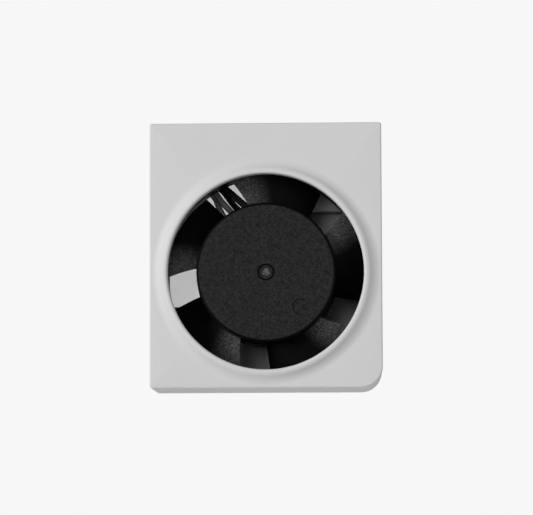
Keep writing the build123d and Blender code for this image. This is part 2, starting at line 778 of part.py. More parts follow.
def power_socket():
    """The four-way socket in the pocket of the rear cover."""
    x, z = pocket_middle_x, socket_middle_z
    shell = block(x - socket_width / 2, x + socket_width / 2, pocket_floor, pocket_floor + socket_length,
                  z - socket_height / 2, z + socket_height / 2)
    shell = fillet(shell.edges().filter_by(Axis.Y), socket_wall / 2)
    shell -= block(x - socket_width / 2 + socket_wall, x + socket_width / 2 - socket_wall,
                   pocket_floor + socket_floor, pocket_floor + socket_length + 1,
                   z - socket_height / 2 + socket_wall, z + socket_height / 2 - socket_wall)
    key = (pin_count - 1) * pin_pitch / 2
    shell -= block(x - key, x + key, pocket_floor + socket_floor + 1,
                   pocket_floor + socket_length + 1, z, z + socket_height)
    for pin_x in pin_places():
        shell -= block(pin_x - pin_size / 2, pin_x + pin_size / 2,
                       pocket_floor - 1, pocket_floor + socket_floor + 1,
                       z - pin_size / 2, z + pin_size / 2)
    return shell


def socket_pins():
    """The socket's square pins, with their solder tails inside the rear cover."""
    pins = []
    for x in pin_places():
        pins.append(block(x - pin_size / 2, x + pin_size / 2, pocket_floor - pocket_wall - pin_tail,
                          pocket_floor + socket_floor + pin_length - socket_wall,
                          socket_middle_z - pin_size / 2, socket_middle_z + pin_size / 2))
    return Compound(children=pins)


# ---- Sub-parts -----------------------------------------------------------------------
nodes = {
    "front_cover": front_cover(),
    "rear_cover": rear_cover(),
    "outlet_screen": outlet_screen(),
    "screen_bezel": screen_bezel(),
    "cover_screws": cover_screws(),
    "mounting_inserts": mounting_inserts(),
    "fan_frame": fan_frame(),
    "motor_label": motor_label(),
    "impeller": impeller(),
    "rotor_yoke": rotor_yoke(),
    "ring_magnet": ring_magnet(),
    "shaft": shaft(),
    "front_bearing_outer_race": outer_race(front_bearing),
    "front_bearing_inner_race": inner_race(front_bearing),
    "front_bearing_balls": balls(front_bearing),
    "front_bearing_cage": cage(front_bearing),
    "rear_bearing_outer_race": outer_race(rear_bearing),
    "rear_bearing_inner_race": inner_race(rear_bearing),
    "rear_bearing_balls": balls(rear_bearing),
    "rear_bearing_cage": cage(rear_bearing),
    "bearing_tube": bearing_tube(),
    "preload_spring": preload_spring(),
    "retaining_clip": retaining_clip(),
    "stator_core": stator_core(),
    "stator_insulator_front": stator_insulator(core_front - insulator_end, core_middle),
    "stator_insulator_rear": stator_insulator(core_middle, core_rear + insulator_end),
    "coil_windings": coil_windings(),
    "motor_board": motor_board(),
    "driver_chip": driver_chip(),
    "hall_sensor": hall_sensor(),
    "smoothing_capacitors": smoothing_capacitors(),
    "lead_grey": lead_pair(lead_grey_radius, lead_grey_offsets, lead_grey_corners, lead_grey_roof_gaps,
                           pin_places()[:1:-1]),
    "lead_black": lead_pair(lead_black_radius, lead_black_offsets, lead_black_corners, lead_black_roof_gaps,
                            pin_places()[1::-1]),
    "power_socket": power_socket(),
    "socket_pins": socket_pins(),
}

os.makedirs("parts", exist_ok=True)
for name, shape in nodes.items():
    export_step(shape, f"parts/{name}.step")
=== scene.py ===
import bpy
from math import atan, cos, degrees, pi, radians, sin
import numpy as np
from mathutils import Matrix, Vector


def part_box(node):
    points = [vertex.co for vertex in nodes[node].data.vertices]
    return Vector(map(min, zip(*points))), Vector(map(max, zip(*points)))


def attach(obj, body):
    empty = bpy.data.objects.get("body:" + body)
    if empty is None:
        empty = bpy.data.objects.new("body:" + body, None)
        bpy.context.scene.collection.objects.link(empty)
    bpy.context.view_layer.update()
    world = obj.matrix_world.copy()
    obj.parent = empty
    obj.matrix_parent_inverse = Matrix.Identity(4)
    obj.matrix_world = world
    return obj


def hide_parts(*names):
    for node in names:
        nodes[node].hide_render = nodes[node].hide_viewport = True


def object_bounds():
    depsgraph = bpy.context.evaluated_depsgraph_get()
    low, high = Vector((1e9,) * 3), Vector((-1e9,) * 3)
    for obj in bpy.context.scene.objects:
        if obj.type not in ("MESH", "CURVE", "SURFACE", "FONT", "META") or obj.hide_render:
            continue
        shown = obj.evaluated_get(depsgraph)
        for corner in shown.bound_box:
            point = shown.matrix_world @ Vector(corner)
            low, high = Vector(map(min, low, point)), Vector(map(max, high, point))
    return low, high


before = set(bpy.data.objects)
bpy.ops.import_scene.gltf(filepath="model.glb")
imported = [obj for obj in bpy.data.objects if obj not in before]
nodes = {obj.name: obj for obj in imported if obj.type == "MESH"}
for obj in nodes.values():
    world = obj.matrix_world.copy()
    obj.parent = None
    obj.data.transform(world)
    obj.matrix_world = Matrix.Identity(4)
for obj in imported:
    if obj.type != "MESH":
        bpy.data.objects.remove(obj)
cad_low, cad_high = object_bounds()

# ---- Studio --------------------------------------------------------------------------
# A plain pale room: an even white surround, a large soft lamp at the left, and four smaller, weaker ones
# in front, at the right, below and behind. The object is looked at from a little below, so the floor is
# one-sided and light passes it.
room_white = 0.93
room_fill = 0.22
room_shine = 0.28


class Level:
    """A number that varies over a surface: a shader socket whose arithmetic adds Math nodes."""

    def __init__(self, paint, socket):
        self.paint = paint
        self.socket = socket

    def math(self, operation, *others):
        given = {0: self, **dict(enumerate(others, 1))}
        return self.paint.node("ShaderNodeMath", {"operation": operation}, given)

    def __add__(self, other):
        return self.math("ADD", other)

    def __radd__(self, other):
        return self.math("ADD", other)

    def __sub__(self, other):
        return self.math("SUBTRACT", other)

    def __rsub__(self, other):
        return self.paint.node("ShaderNodeMath", {"operation": "SUBTRACT"}, {0: other, 1: self})

    def __mul__(self, other):
        return self.math("MULTIPLY", other)

    def __rmul__(self, other):
        return self.math("MULTIPLY", other)

    def __pow__(self, other):
        return self.math("POWER", other)

    def over(self, edge, softness):
        """0 below the edge, 1 above it, with a soft step between."""
        settings = {"interpolation_type": "SMOOTHSTEP"}
        return self.paint.node("ShaderNodeMapRange", settings,
                               {"Value": self, "From Min": edge - softness, "From Max": edge + softness})


class Paint:
    """A material in the making: node() adds any node, and shade() ends it."""

    def __init__(self, name):
        self.material = bpy.data.materials.new(name)
        self.material.use_nodes = True
        self.tree = self.material.node_tree
        self.shader = self.tree.nodes["Principled BSDF"]

    def fill(self, node, values):
        for key, value in values.items():
            if isinstance(value, Level):
                self.tree.links.new(value.socket, node.inputs[key])
            else:
                node.inputs[key].default_value = value

    def node(self, kind, settings=None, values=None, out=0):
        """A node of a kind, its settings first and then the values or links of its sockets."""
        node = self.tree.nodes.new(kind)
        for key, value in (settings or {}).items():
            setattr(node, key, value)
        self.fill(node, values or {})
        return Level(self, node.outputs[out])

    def place(self):
        return self.node("ShaderNodeTexCoord", out="Object")

    def along(self, axis):
        """The place along X, Y or Z, by the axis's number."""
        return self.node("ShaderNodeSeparateXYZ", {}, {"Vector": self.place()}, out=axis)

    def grain(self, size, detail=2.0, roughness=0.5, stretch=None):
        """Noise whose blobs are about this size, in metres, from 0 to 1."""
        where = self.place()
        if stretch:
            where = self.node("ShaderNodeMapping", {}, {"Vector": where, "Scale": stretch})
        values = {"Vector": where, "Scale": 1 / size, "Detail": detail, "Roughness": roughness}
        return self.node("ShaderNodeTexNoise", {}, values)

    def mix(self, factor, low, high):
        """A colour between two colours. A Mix node's colours go in by the sockets' numbers."""
        values = {0: factor, 6: as_colour(low), 7: as_colour(high)}
        return self.node("ShaderNodeMix", {"data_type": "RGBA"}, values, out=2)

    def bump(self, height, depth, strength=1.0, below=None):
        """A normal from a height field; depth is its relief in metres."""
        values = {"Height": height, "Distance": depth, "Strength": strength}
        if below is not None:
            values["Normal"] = below
        return self.node("ShaderNodeBump", {}, values)

    def shade(self, **values):
        names = {key.replace("_", " ").title().replace("Ior", "IOR"): value for key, value in values.items()}
        self.fill(self.shader, names)
        return self.material


def as_colour(value):
    """A grey number or three numbers as a colour with its alpha."""
    if isinstance(value, Level):
        return value
    if isinstance(value, (int, float)):
        return (value, value, value, 1.0)
    return (*value, 1.0)


scene = bpy.context.scene
scene.view_settings.view_transform = "Standard"

world = bpy.data.worlds.new("room")
scene.world = world
world.use_nodes = True
room = world.node_tree
room.nodes.clear()
path = room.nodes.new("ShaderNodeLightPath")
shine = room.nodes.new("ShaderNodeMapRange")
shine.inputs["To Min"].default_value = room_fill
shine.inputs["To Max"].default_value = room_shine
room.links.new(path.outputs["Is Glossy Ray"], shine.inputs["Value"])
level = room.nodes.new("ShaderNodeMapRange")
level.inputs["To Max"].default_value = room_white
room.links.new(path.outputs["Is Camera Ray"], level.inputs["Value"])
room.links.new(shine.outputs[0], level.inputs["To Min"])
light = room.nodes.new("ShaderNodeBackground")
light.inputs["Color"].default_value = (1, 1, 1, 1)
room.links.new(level.outputs[0], light.inputs["Strength"])
room_out = room.nodes.new("ShaderNodeOutputWorld")
room.links.new(light.outputs[0], room_out.inputs["Surface"])

middle = (cad_low + cad_high) / 2


def softbox(name, place, size, watts):
    """A square lamp at a place, turned towards the middle of the object."""
    data = bpy.data.lights.new(name, "AREA")
    data.shape = "SQUARE"
    data.size = size
    data.energy = watts
    lamp = bpy.data.objects.new(name, data)
    scene.collection.objects.link(lamp)
    lamp.location = place
    lamp.rotation_mode = "QUATERNION"
    lamp.rotation_quaternion = (middle - Vector(place)).to_track_quat("-Z", "Y")


large_side, small_side = 0.9, 0.5
softbox("key_lamp", (-1.80, -1.15, 0.42), large_side, 37.0)
softbox("front_lamp", (-0.28, -1.56, 0.24), small_side, 3.0)
softbox("side_lamp", (0.60, -0.80, 0.05), small_side, 3.0)
softbox("low_lamp", (-0.1, 0.35, -0.9), small_side, 4.6)
softbox("back_lamp", (0.5, 0.9, 0.7), small_side, 6.0)

floor_reach = 3.0
floor_drop = 0.00008
floor_grey = 0.88
floor_mesh = bpy.data.meshes.new("floor")
floor_corners = [(x * floor_reach, y * floor_reach, -floor_drop)
                 for x, y in ((-1, -1), (1, -1), (1, 1), (-1, 1))]
floor_mesh.from_pydata(floor_corners, [], [(0, 1, 2, 3)])
floor = bpy.data.objects.new("floor", floor_mesh)
scene.collection.objects.link(floor)
floor_paint = Paint("floor_paint")
ray = floor_paint.tree.nodes.new("ShaderNodeLightPath")
backside = floor_paint.node("ShaderNodeNewGeometry", out="Backfacing")
diffuse_ray = Level(floor_paint, ray.outputs["Is Diffuse Ray"])
shadow_ray = Level(floor_paint, ray.outputs["Is Shadow Ray"])
floor_paint.shade(base_color=as_colour(floor_grey), roughness=0.9, specular_ior_level=0.0)
see_through = floor_paint.tree.nodes.new("ShaderNodeBsdfTransparent")
floor_mix = floor_paint.tree.nodes.new("ShaderNodeMixShader")
passing = backside.math("MAXIMUM", diffuse_ray).math("MAXIMUM", shadow_ray)
floor_paint.tree.links.new(passing.socket, floor_mix.inputs[0])
floor_paint.tree.links.new(floor_paint.shader.outputs[0], floor_mix.inputs[1])
floor_paint.tree.links.new(see_through.outputs[0], floor_mix.inputs[2])
floor_paint.tree.links.new(floor_mix.outputs[0], floor_paint.tree.nodes["Material Output"].inputs["Surface"])
floor_mesh.materials.append(floor_paint.material)

lens_length = 189.4
lens_shift = 0.0593
camera_place = (0.03274, -1.100, -0.05368)
tilt, swing, roll = radians(4.858), radians(1.723), radians(-0.207)
camera_data = bpy.data.cameras.new("camera")
camera_data.lens = lens_length
camera_data.shift_y = lens_shift
camera_data.clip_end = 20
camera = bpy.data.objects.new("camera", camera_data)
scene.collection.objects.link(camera)
aim = Matrix.Rotation(swing, 4, "Z") @ Matrix.Rotation(pi / 2 + tilt, 4, "X")
aim @= Matrix.Rotation(roll, 4, "Z")
camera.matrix_world = Matrix.Translation(camera_place) @ aim
scene.camera = camera

# ---- Front cover ---------------------------------------------------------------------
# The light grey shell seen from the front is one thin-walled moulding with a fine spark-eroded grain: a
# raised ring with a rounded lip round the mouth, a flat plate, four walls that run back to the seam, and
# four posts that centre the fan.
millimetre = 0.001
front_low, front_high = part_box("front_cover")
frame_low, frame_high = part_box("fan_frame")
axis_height = (frame_low.z + frame_high.z) / 2
half_width = front_high.x
top_edge = front_high.z
crest_y = front_low.y
ring_height = 2.2 * millimetre
plate_y = crest_y + ring_height
shell_rear = front_high.y
fan_front = frame_low.y
side_wall = 2.0 * millimetre
corner_radius = 8.2 * millimetre
small_corner = 0.8 * millimetre
plate_rounding = 0.6 * millimetre
mouth_radius = 38.0 * millimetre
foot_radius = 44.4 * millimetre
lip_rounding = 0.9 * millimetre
crest_rounding = 2.5 * millimetre
rebate_depth = 2.1 * millimetre
rebate_wall = 1.0 * millimetre
seam_chamfer = 0.15 * millimetre
post_spacing = 71.5 * millimetre
post_radius = 2.1 * millimetre
post_bore = 1.25 * millimetre
post_length = 12.0 * millimetre
front_wall = 1.8 * millimetre


def arc(middle, radius, start, stop, count):
    """Points on a circle from one angle to another, in degrees, as an array of pairs."""
    angle = np.radians(np.linspace(start, stop, count))
    return np.stack([middle[0] + radius * np.cos(angle), middle[1] + radius * np.sin(angle)], 1)


def housing_outline(inset):
    """The outline of the housing as X and Z, drawn in by inset: straight sides joined by corner arcs, the
    lower right one large. Every inset has the same number of points, so outlines can be joined."""
    right, left = half_width - inset, inset - half_width
    low, high = inset, top_edge - inset
    least = 0.02 * millimetre
    big = corner_radius - inset
    small = max(small_corner - inset, least)
    corners = [((right - big, low + big), big, -90, 0), ((right - small, high - small), small, 0, 90),
               ((left + small, high - small), small, 90, 180), ((left + small, low + small), small, 180, 270)]
    arcs = [arc(place, radius, start, stop, 13) for place, radius, start, stop in corners]
    run = []
    for here, following in zip(arcs, arcs[1:] + arcs[:1]):
        share = np.linspace(0, 1, 110)[1:-1, None]
        run += [here, here[-1] * (1 - share) + following[0] * share]
    return np.concatenate(run)


def ring_profile():
    """Radius and depth from the back of the mouth over the lip and crest and down the dome to the plate:
    a quarter circle, then an arc that curves over and a larger one that curves back, tangent where they
    meet."""
    crest_x = mouth_radius + lip_rounding
    run = foot_radius - crest_x
    slope = 2 * atan(ring_height / run)
    spread = run / sin(slope)
    wall = np.array([(mouth_radius, fan_front), (mouth_radius, fan_front - 0.1 * millimetre)])
    lip = arc((crest_x, crest_y + lip_rounding), lip_rounding, 180, 270, 9)
    dome = arc((crest_x, crest_y + crest_rounding), crest_rounding, 270, 270 + degrees(slope), 12)[1:]
    skirt_radius = spread - crest_rounding
    skirt = arc((foot_radius, plate_y - skirt_radius), skirt_radius, 90 + degrees(slope), 90, 16)[1:]
    return np.concatenate([wall, lip, dome, skirt])


def surface(name, grid, around=True, along=False):
    """A mesh over a grid of points; around closes its second direction and along its first."""
    rows, columns = grid.shape[:2]
    index = np.arange(rows * columns).reshape(rows, columns)
    low = index if along else index[:-1]
    high = np.roll(index, -1, 0) if along else index[1:]
    ahead = np.roll(index, -1, 1)
    ahead_low = ahead if along else ahead[:-1]
    ahead_high = np.roll(ahead, -1, 0) if along else ahead[1:]
    quads = np.stack([low, ahead_low, ahead_high, high], -1)
    if not around:
        quads = quads[:, :-1]
    mesh = bpy.data.meshes.new(name)
    mesh.from_pydata(grid.reshape(-1, 3).tolist(), [], quads.reshape(-1, 4).tolist())
    return mesh


def piece(name, mesh, material, body, sharp=35):
    """A finished object: shaded smooth but for edges sharper than an angle, painted, and riding on its
    body."""
    mesh.shade_smooth()
    mesh.set_sharp_from_angle(angle=radians(sharp))
    mesh.materials.clear()
    mesh.materials.append(material)
    thing = bpy.data.objects.new(name, mesh)
    scene.collection.objects.link(thing)
    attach(thing, body)
    return thing


def merged(*meshes):
    """Several meshes as one, with doubled points merged and faces turned outwards."""
    import bmesh
    whole = bmesh.new()
    for mesh in meshes:
        whole.from_mesh(mesh)
    bmesh.ops.remove_doubles(whole, verts=whole.verts, dist=1e-7)
    bmesh.ops.dissolve_degenerate(whole, edges=whole.edges, dist=1e-7)
    bmesh.ops.recalc_face_normals(whole, faces=whole.faces)
    result = meshes[0]
    whole.to_mesh(result)
    whole.free()
    return result


def turned(name, profile, sides=160, about=(0, axis_height)):
    """A closed profile of radius and depth carried round a line along Y: X and Z are the line's place plus
    the radius times the cosine and sine of the turn."""
    profile = np.asarray(profile, float)
    angle = np.linspace(0, 2 * pi, sides, endpoint=False)
    grid = np.empty((len(profile), sides, 3))
    grid[..., 0] = about[0] + profile[:, :1] * np.cos(angle)
    grid[..., 1] = profile[:, 1:]
    grid[..., 2] = about[1] + profile[:, :1] * np.sin(angle)
    return surface(name, grid)


def cover_grid():
    """Rows from the mouth outwards over the plate, round its edge, back along the walls and home again
    along the inside: round rows about the fan axis, then rows that follow the outline."""
    outer = housing_outline(0)
    angle = np.arctan2(outer[:, 1] - axis_height, outer[:, 0])
    circle = np.stack([np.cos(angle), np.sin(angle)], 1)

    def round_row(radius, depth):
        return np.insert(circle * radius + (0, axis_height), 1, depth, axis=1)

    def outline_row(inset, depth):
        return np.insert(housing_outline(inset), 1, depth, axis=1)

    rows = [round_row(radius, depth) for radius, depth in ring_profile()]
    rows.append(outline_row(plate_rounding, plate_y))
    for inset, depth in arc((plate_rounding, plate_y + plate_rounding), plate_rounding, 270, 180, 7)[1:]:
        rows.append(outline_row(inset, depth))
    walk = [(0, shell_rear - seam_chamfer), (seam_chamfer, shell_rear), (rebate_wall, shell_rear),
            (rebate_wall, shell_rear - rebate_depth), (side_wall, shell_rear - rebate_depth),
            (side_wall, fan_front)]
    rows += [outline_row(inset, depth) for inset, depth in walk]
    return np.array(rows)


def housing_finish():
    """Light grey moulded plastic: a fine even grain, faint cloudiness and a satin gloss."""
    paint = Paint("housing_plastic")
    spark = paint.grain(0.00022, 2.5, 0.62)
    flow = paint.grain(0.02, 3.0, 0.5)
    scuff = paint.grain(0.004, 6.0, 0.7).over(0.66, 0.05)
    shade_of = flow * 0.5 + spark * 0.35 + scuff * 0.15
    colour = paint.mix(shade_of, (0.575, 0.575, 0.578), (0.628, 0.627, 0.626))
    normal = paint.bump(spark, 0.00003, 0.55)
    return paint.shade(base_color=colour, roughness=0.52 + 0.1 * flow - 0.06 * scuff, normal=normal,
                       specular_ior_level=0.42)


housing_paint = housing_finish()
cover_parts = [surface("front_cover_shell", cover_grid(), along=True)]
post_profile = [(0, fan_front), (post_radius, fan_front), (post_radius, fan_front + post_length),
                (post_bore, fan_front + post_length), (post_bore, fan_front + front_wall),
                (0, fan_front + front_wall)]
for post_x in (-post_spacing / 2, post_spacing / 2):
    for post_z in (axis_height - post_spacing / 2, axis_height + post_spacing / 2):
        cover_parts.append(turned("cover_post", post_profile, 40, (post_x, post_z)))
front_cover = piece("front_cover_shell", merged(*cover_parts), housing_paint, "housing")
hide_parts("front_cover")

# ---- Impeller ------------------------------------------------------------------------
# One black glass-filled moulding: a wide flat hub with a rounded edge and five broad blades, each nearly
# flat at its leading edge and steep at its trailing edge. The gate and an ejector pin left round marks.
impeller_low, impeller_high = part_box("impeller")
hub_front = impeller_low.y
hub_rear = impeller_high.y
hub_radius = 27.1 * millimetre
hub_wall = 1.5 * millimetre
hub_face = 1.8 * millimetre
hub_rounding = 0.8 * millimetre
shaft_boss_radius = 4.0 * millimetre
shaft_boss_length = 2.0 * millimetre
shaft_bore = 1.5 * millimetre
bore_floor = 1.0 * millimetre
tip_radius = 38.2 * millimetre
blade_count = 5
blade_front_depth = 2.5 * millimetre
blade_back_depth = 13.3 * millimetre
blade_front_angles = (104.0, 110.5)
blade_back_angles = (53.3, 56.2)
blade_camber = 0.45
blade_thickness = 1.3 * millimetre
blade_edge = 0.55 * millimetre
chord_points, span_points = 40, 12
gate_radius = 3.25 * millimetre
gate_groove = 0.55 * millimetre
gate_depth = 0.4 * millimetre
ejector_radius = 3.0 * millimetre
ejector_place = (13.4 * millimetre, -13.6 * millimetre)
sprue_radius = 1.5 * millimetre
# Width of the painted shade band at the hub's rim, and the depth and softness of the painted shade behind the
# face.
rim_shade_width = 0.45 * millimetre
dust_and_shade_depth = 4.1 * millimetre
dust_and_shade_fade = 1.5 * millimetre


def impeller_finish():
    """Black glass-filled nylon. Two noises make a mottle of fibres at the surface, and fine dust makes it
    grey. The dust lies on the face of the hub, thicker on the leading edges. Painted shade: the grey fades
    out with the depth behind the face as a smooth step, and a dark band is painted at the hub's rim and in
    the gate's ring groove. Painted glints: pale specks where a finer noise passes a limit, on the blades
    alone."""
    paint = Paint("impeller_plastic")
    depth = paint.along(1) - hub_front
    x = paint.along(0)
    z = paint.along(2) - axis_height
    radius = (x * x + z * z) ** 0.5
    # Painted shade: a dark band round the hub's rim, where the grey is taken away.
    rim = (radius - (hub_radius - rim_shade_width)).math("ABSOLUTE")
    rim_painted_shade = 1.0 - rim.over(rim_shade_width, 0.25 * millimetre)
    speck = paint.grain(0.00045, 2.0, 0.6)
    cloud = paint.grain(0.0020, 4.0, 0.65)
    fleck = paint.grain(0.00055, 3.0, 0.7).over(0.67, 0.05)
    mottle = (speck - 0.5) * 1.5 + (cloud - 0.5) * 0.8 + 0.46
    # Painted shade: the grey fades out with depth behind the hub's face, so deeper blade surfaces are darker.
    deep = depth.over(dust_and_shade_depth, dust_and_shade_fade)
    blade = radius.over(hub_radius + 0.5 * millimetre, 0.3 * millimetre)
    dust_and_light_share = (1.0 + 1.0 * blade) * (1.0 - deep) * (1.0 - rim_painted_shade)
    dust_and_painted_light = (mottle.math("MAXIMUM", 0.0) * 0.9 + fleck * (0.7 + 0.3 * blade)) * dust_and_light_share
    # Painted shade: the gate's ring groove is left dark.
    ring = (radius - (gate_radius - 0.5 * gate_groove)).math("ABSOLUTE")
    groove_painted_shade = 1.0 - ring.over(0.6 * gate_groove, 0.35 * gate_groove)
    torn = paint.grain(0.0009, 2.0, 0.6).over(0.47, 0.08)
    gate = (1.0 - radius.over(sprue_radius, 0.2 * millimetre)) * (0.15 + 0.85 * torn)
    cover = (dust_and_painted_light * (1.0 - groove_painted_shade)).math("MINIMUM", 1.0)
    dull = paint.mix(cover, (0.0007, 0.0007, 0.0007), (0.042, 0.042, 0.0425))
    # Painted glints: pale grey specks in the colour on the dusty parts of the blades.
    painted_glint = paint.grain(0.00034, 2.0, 0.5).over(0.59, 0.07)
    dull = paint.mix(painted_glint * dust_and_light_share * blade * 0.5, dull, (0.15, 0.15, 0.15))
    colour = paint.mix(gate, dull, (0.10, 0.10, 0.10))
    from_x, from_z = x - ejector_place[0], z - ejector_place[1]
    pressed = (from_x * from_x + from_z * from_z) ** 0.5
    recess = pressed.over(ejector_radius, 0.3 * millimetre)
    normal = paint.bump(speck * 0.6 + cloud * 0.4, 0.00012, 0.8, paint.bump(recess, 0.0009, 1.0))
    return paint.shade(base_color=colour, roughness=0.6 + 0.2 * dust_and_painted_light, normal=normal,
                       specular_ior_level=0.06)


def hub_profile():
    """From the middle of the face outwards over the gate's ring groove, round the edge, back along the
    cup and home along its inside and down into the shaft's bore."""
    gate = np.array([(0, 0.10), (0.5, -0.02), (0.9, 0.02), (1.35, 0.16), (1.7, 0.03)]) * millimetre
    groove = np.array([(-gate_groove, 0), (-0.8 * gate_groove, gate_depth), (-0.2 * gate_groove, gate_depth),
                       (0, 0), (0.4 * millimetre, 0)])
    flat = [(hub_radius * 0.5, hub_front), (hub_radius * 0.8, hub_front)]
    face = [*(gate + (0, hub_front)), *(groove + (gate_radius, hub_front)), *flat]
    edge = arc((hub_radius - hub_rounding, hub_front + hub_rounding), hub_rounding, 270, 360, 8)
    inner = hub_radius - hub_wall
    inside, boss_end = hub_front + hub_face, hub_front + hub_face + shaft_boss_length
    bore_end = hub_front + bore_floor
    back = [(hub_radius, hub_rear), (inner, hub_rear), (inner, inside), (shaft_boss_radius, inside),
            (shaft_boss_radius, boss_end), (shaft_bore, boss_end), (shaft_bore, bore_end), (0, bore_end)]
    return np.concatenate([face, edge, back])


def blade_surface(name, first_angle):
    """Sections across the chord carried from root to tip. The mean line runs from the leading edge's depth
    to the trailing edge's as camber times u plus the rest times u squared; the thickness swells and
    tapers as a half ellipse either side of it."""
    u = (1 - np.cos(np.linspace(0, pi, chord_points))) / 2
    span = np.linspace(0, 1, span_points)
    swell = np.sqrt(np.clip(1 - (2 * u - 1) ** 4, 0, 1))
    half = (blade_edge + (blade_thickness - blade_edge) * np.sin(pi * u ** 0.7)) / 2 * swell
    pitch = blade_camber * u + (1 - blade_camber) * u * u
    depth = hub_front + blade_front_depth + half.max() + pitch * (blade_back_depth - blade_front_depth)
    loop_u = np.concatenate([u, u[-2:0:-1]])
    loop_y = np.concatenate([depth - half, (depth + half)[-2:0:-1]])
    root_r, tip_r = hub_radius - 0.5 * hub_wall, tip_radius
    rows = []
    for share in span:
        front = blade_front_angles[0] + share * (blade_front_angles[1] - blade_front_angles[0])
        back = blade_back_angles[0] + share * (blade_back_angles[1] - blade_back_angles[0])
        angle = np.radians(first_angle + front + loop_u * (back - front))
        radius = root_r + share * (tip_r - root_r)
        rows.append(np.stack([radius * np.cos(angle), loop_y, axis_height + radius * np.sin(angle)], 1))
    grid = np.array(rows)
    first, last = grid[:1].copy(), grid[-1:].copy()
    first[0, :, 1] = last[0, :, 1] = np.concatenate([depth, depth[-2:0:-1]])
    return surface(name, np.concatenate([first, grid, last]))


impeller_paint = impeller_finish()
impeller_parts = [turned("impeller_hub", hub_profile())]
impeller_parts += [blade_surface("blade", 360 / blade_count * k) for k in range(blade_count)]
impeller = piece("impeller_moulding", merged(*impeller_parts), impeller_paint, "rotor", 40)
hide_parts("impeller")

# ---- Fan frame -----------------------------------------------------------------------
# The black moulded frame keeps its CAD shape; its duct and struts show between the blades.


def frame_finish():
    """Black glass-filled plastic, a little glossier in the duct than the impeller."""
    paint = Paint("black_plastic")
    speck = paint.grain(0.0004, 3.0, 0.7)
    colour = paint.mix(speck, (0.0006, 0.0006, 0.0006), (0.0022, 0.0022, 0.0023))
    normal = paint.bump(speck, 0.00003, 0.5)
    return paint.shade(base_color=colour, roughness=0.36 + 0.2 * speck, normal=normal,
                       specular_ior_level=0.16)


def paint_node(name, material):
    """A CAD node keeps its mesh and takes a finished material."""
    mesh = nodes[name].data
    mesh.materials.clear()
    mesh.materials.append(material)


paint_node("fan_frame", frame_finish())

# ---- Rear cover ----------------------------------------------------------------------
# The rear half of the housing, moulded in the same light grey plastic, with the outlet window, the screw
# columns and the pocket of the power socket in one piece. The bezel that holds its screen is moulded too.
paint_node("rear_cover", housing_paint)
paint_node("screen_bezel", housing_paint)

# ---- Outlet screen -------------------------------------------------------------------
# A screen of fine steel wire over the L-shaped outlet window, its two layers welded where they cross and
# its edge pinched behind the bezel. Each wire is a thin four-sided rod.
screen_low, screen_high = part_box("outlet_screen")
wire_pitch = 0.30 * millimetre
wire_radius = 0.060 * millimetre
screen_y = (screen_low.y + screen_high.y) / 2
screen_margin = 0.3 * millimetre
screen_step = (-30.5 * millimetre, 75.3 * millimetre)


def wires(name, starts, stops, across):
    """Straight rods from starts to stops; across are two unit vectors at right angles to them. A rod's
    corners are its ends plus the radius times the cosine and sine of four turns."""
    turn = np.linspace(0, 2 * pi, 4, endpoint=False) + pi / 4
    ring = wire_radius * (np.cos(turn)[:, None] * across[0] + np.sin(turn)[:, None] * across[1])
    points = np.stack([starts[:, None] + ring, stops[:, None] + ring], 1)
    count = len(starts)
    index = np.arange(count * 8).reshape(count, 2, 4)
    ahead = np.roll(index, -1, 2)
    sides = np.stack([index[:, 0], ahead[:, 0], ahead[:, 1], index[:, 1]], -1).reshape(-1, 4)
    ends = np.concatenate([index[:, 0, ::-1], index[:, 1]])
    mesh = bpy.data.meshes.new(name)
    mesh.from_pydata(points.reshape(-1, 3).tolist(), [], np.concatenate([sides, ends]).tolist())
    return mesh


def screen_mesh():
    """Upright wires in one layer and level ones in the layer behind, cut to the L of the window."""
    low_x, high_x = screen_low.x + screen_margin, screen_high.x - screen_margin
    low_z, high_z = screen_low.z + screen_margin, screen_high.z - screen_margin
    step_x, step_z = screen_step
    x = np.arange(low_x, high_x, wire_pitch)
    z = np.arange(low_z, high_z, wire_pitch)
    front, back = screen_y - wire_radius * 0.9, screen_y + wire_radius * 0.9
    upright = (np.stack([x, np.full_like(x, front), np.full_like(x, low_z)], 1),
               np.stack([x, np.full_like(x, front), np.where(x > step_x, high_z, step_z)], 1))
    level_wires = (np.stack([np.where(z < step_z, low_x, step_x), np.full_like(z, back), z], 1),
                   np.stack([np.full_like(z, high_x), np.full_like(z, back), z], 1))
    x_way, y_way, z_way = np.eye(3)
    return merged(wires("upright_wires", *upright, (x_way, y_way)),
                  wires("level_wires", *level_wires, (y_way, z_way)))


def wire_finish():
    """Drawn steel wire, dulled, lighter and darker in patches."""
    paint = Paint("screen_wire")
    patch = paint.grain(0.003, 3.0, 0.6)
    return paint.shade(base_color=paint.mix(patch, (0.30, 0.31, 0.32), (0.50, 0.505, 0.51)), metallic=0.85,
                       roughness=0.45 + 0.2 * patch)


screen = piece("wire_screen", screen_mesh(), wire_finish(), "housing", 60)
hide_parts("outlet_screen")

# ---- Rotor yoke, magnet and shaft ----------------------------------------------------
# The impeller is moulded round a deep-drawn steel cup. A ring of bonded ferrite is glued inside the cup,
# and a ground steel shaft is staked into its middle.


def drawn_steel(name, dark, light, grain_size, rough):
    """Bare metal with fine streaks: the colour, roughness and relief follow one noise."""
    paint = Paint(name)
    streak = paint.grain(grain_size, 4.0, 0.65)
    blotch = paint.grain(grain_size * 12, 3.0, 0.55)
    both = streak * 0.6 + blotch * 0.4
    return paint.shade(base_color=paint.mix(both, dark, light), metallic=1.0, roughness=rough + 0.2 * both,
                       normal=paint.bump(streak, grain_size * 0.04, 0.4))


